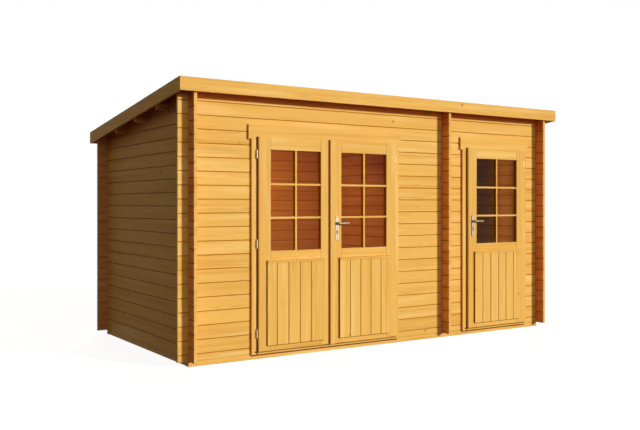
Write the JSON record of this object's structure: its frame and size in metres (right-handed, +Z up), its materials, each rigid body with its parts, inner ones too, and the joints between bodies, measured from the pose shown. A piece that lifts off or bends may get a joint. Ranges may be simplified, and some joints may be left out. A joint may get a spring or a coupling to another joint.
{
  "type": "log garden house",
  "caption": "Log-built garden house with a mono-pitch roof, a large room behind a half-glazed double door and a store room behind a half-glazed single door.",
  "frame": {"origin": "centre of the plan on the ground, under the middle of the roof", "axes": "+X to the right along the front wall, +Y to the back, +Z up; the doors face -Y"},
  "size_m": [4.338, 2.284, 2.3184],
  "materials": {
    "log_wood": "satin stained spruce",
    "trim_wood": "satin stained spruce",
    "door_wood": "satin stained spruce",
    "roof_wood": "matte stained spruce",
    "floor_wood": "matte bare spruce",
    "bearer_wood": "matte treated spruce",
    "felt": "matte mineral felt",
    "glass": "clear",
    "fittings": "satin nickel"
  },
  "bodies": {
    "house": {"bearers": "bearer_wood", "floor_joists": "bearer_wood", "floor_main": "floor_wood", "floor_store": "floor_wood", "front_wall_left": "log_wood", "front_wall_middle": "log_wood", "front_wall_right": "log_wood", "front_wall_top": "log_wood", "back_wall": "log_wood", "left_wall": "log_wood", "partition_wall": "log_wood", "right_wall": "log_wood", "purlins": "roof_wood", "roof_boards": "roof_wood", "roof_felt": "felt", "fascia_front": "trim_wood", "fascia_back": "trim_wood", "fascia_left": "trim_wood", "fascia_right": "trim_wood", "double_door_frame": "trim_wood", "single_door_frame": "trim_wood", "double_frame_hinges": "fittings", "single_frame_hinges": "fittings"},
    "left_door": {"left_leaf": "door_wood", "left_panel": "door_wood", "left_drip_bar": "door_wood", "left_glass": "glass", "left_hinges": "fittings"},
    "right_door": {"right_leaf": "door_wood", "right_panel": "door_wood", "right_drip_bar": "door_wood", "right_glass": "glass", "right_hinges": "fittings", "cover_strip": "door_wood", "right_plates": "fittings"},
    "single_door": {"single_leaf": "door_wood", "single_panel": "door_wood", "single_drip_bar": "door_wood", "single_glass": "glass", "single_hinges": "fittings", "single_plates": "fittings"},
    "right_handle": {"right_lever": "fittings"},
    "single_handle": {"single_lever": "fittings"}
  },
  "joints": [
    {"name": "left_door_hinge", "type": "hinge", "parent": "house", "child": "left_door", "pos_m": [-1.427, -1.038, 0.978], "axis": [0, 0, -1], "range_deg": [0, 110]},
    {"name": "right_door_hinge", "type": "hinge", "parent": "house", "child": "right_door", "pos_m": [0.057, -1.038, 0.978], "axis": [0, 0, 1], "range_deg": [0, 110]},
    {"name": "single_door_hinge", "type": "hinge", "parent": "house", "child": "single_door", "pos_m": [1.788, -1.038, 0.978], "axis": [0, 0, 1], "range_deg": [0, 110]},
    {"name": "right_lever_turn", "type": "hinge", "parent": "right_door", "child": "right_handle", "pos_m": [-0.621, -1.047, 1.143], "axis": [0, 1, 0], "range_deg": [0, 40], "stiffness_Nm_per_rad": 1.5, "springref_deg": -28.65},
    {"name": "single_lever_turn", "type": "hinge", "parent": "single_door", "child": "single_handle", "pos_m": [1.043, -1.047, 1.143], "axis": [0, 1, 0], "range_deg": [0, 40], "stiffness_Nm_per_rad": 1.5, "springref_deg": -28.65}
  ]
}
